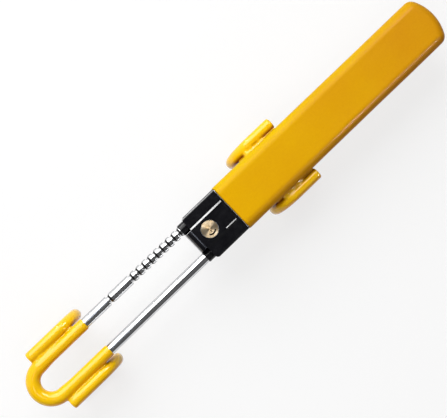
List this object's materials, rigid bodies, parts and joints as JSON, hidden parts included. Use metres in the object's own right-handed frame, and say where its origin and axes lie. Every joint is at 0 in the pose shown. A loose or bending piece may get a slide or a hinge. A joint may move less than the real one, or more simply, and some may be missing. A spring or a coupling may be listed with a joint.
{
  "type": "steering wheel lock",
  "caption": "Twin-bar steering wheel lock: a ratcheted chrome U bar slides in a yellow vinyl handle with a keyed lock head, and hooks at both ends hold the wheel's rim.",
  "frame": {"origin": "under the middle of the lock's length and width, on the surface that its four hooks lie on", "axes": "+X along the lock from the U bend to the handle's domed end, +Y to the ratchet leg's side, +Z out of the face"},
  "size_m": [0.611, 0.089, 0.0807],
  "materials": {
    "chrome_bar": "bright chrome plate on a round steel bar",
    "yellow_dip": "glossy dipped vinyl with soft drips at the welds",
    "yellow_grip": "semi-gloss thick vinyl with rubbed edges",
    "hook_steel": "mild steel, under the dip",
    "tube_steel": "plain steel",
    "fastener_steel": "zinc-plated steel",
    "hard_steel": "hardened steel, oiled",
    "head_plastic": "black moulded plastic, satin",
    "collar_plastic": "black nylon",
    "plug_plastic": "black polyethylene",
    "lock_zinc": "die-cast zinc alloy, as cast",
    "lock_brass": "turned brass",
    "nylon": "natural nylon"
  },
  "bodies": {
    "body": {"handle_tube": "tube_steel", "handle_grip": "yellow_grip", "tube_end_plug": "plug_plastic", "body_hook_left": "hook_steel", "body_hook_right": "hook_steel", "body_hook_left_coat": "yellow_dip", "body_hook_right_coat": "yellow_dip", "lock_block": "lock_zinc", "block_pins": "tube_steel", "head_cover": "head_plastic", "cover_screws": "fastener_steel", "bar_collar_left": "collar_plastic", "bar_collar_right": "collar_plastic", "pocket_cover": "lock_zinc", "lock_barrel": "lock_brass", "barrel_pin": "tube_steel", "pawl_spring": "fastener_steel"},
    "sliding_bar": {"u_bar": "chrome_bar", "u_bar_coat": "yellow_dip", "u_hook_left": "hook_steel", "u_hook_right": "hook_steel", "u_hook_left_coat": "yellow_dip", "u_hook_right_coat": "yellow_dip", "bar_yoke": "nylon", "yoke_clips": "fastener_steel"},
    "plug": {"lock_plug": "lock_brass", "plug_cam": "hard_steel", "cam_screw": "fastener_steel"},
    "latch": {"pawl": "hard_steel"}
  },
  "joints": [
    {"name": "bar_slide", "type": "slide", "parent": "body", "child": "sliding_bar", "axis": [-1, 0, 0], "range_m": [-0.1306, 0.12404]},
    {"name": "plug_turn", "type": "hinge", "parent": "body", "child": "plug", "pos_m": [-0.0409, 0, 0.0627], "axis": [0, 0, 1], "range_deg": [0, 90]},
    {"name": "pawl_slide", "type": "slide", "parent": "body", "child": "latch", "axis": [0, 1, 0], "range_m": [0, 0.0032], "deforming": ["pawl_spring"]}
  ],
  "couplings": [
    {"joint": "pawl_slide", "follows": "plug_turn", "m_per_rad": 0.002037}
  ]
}
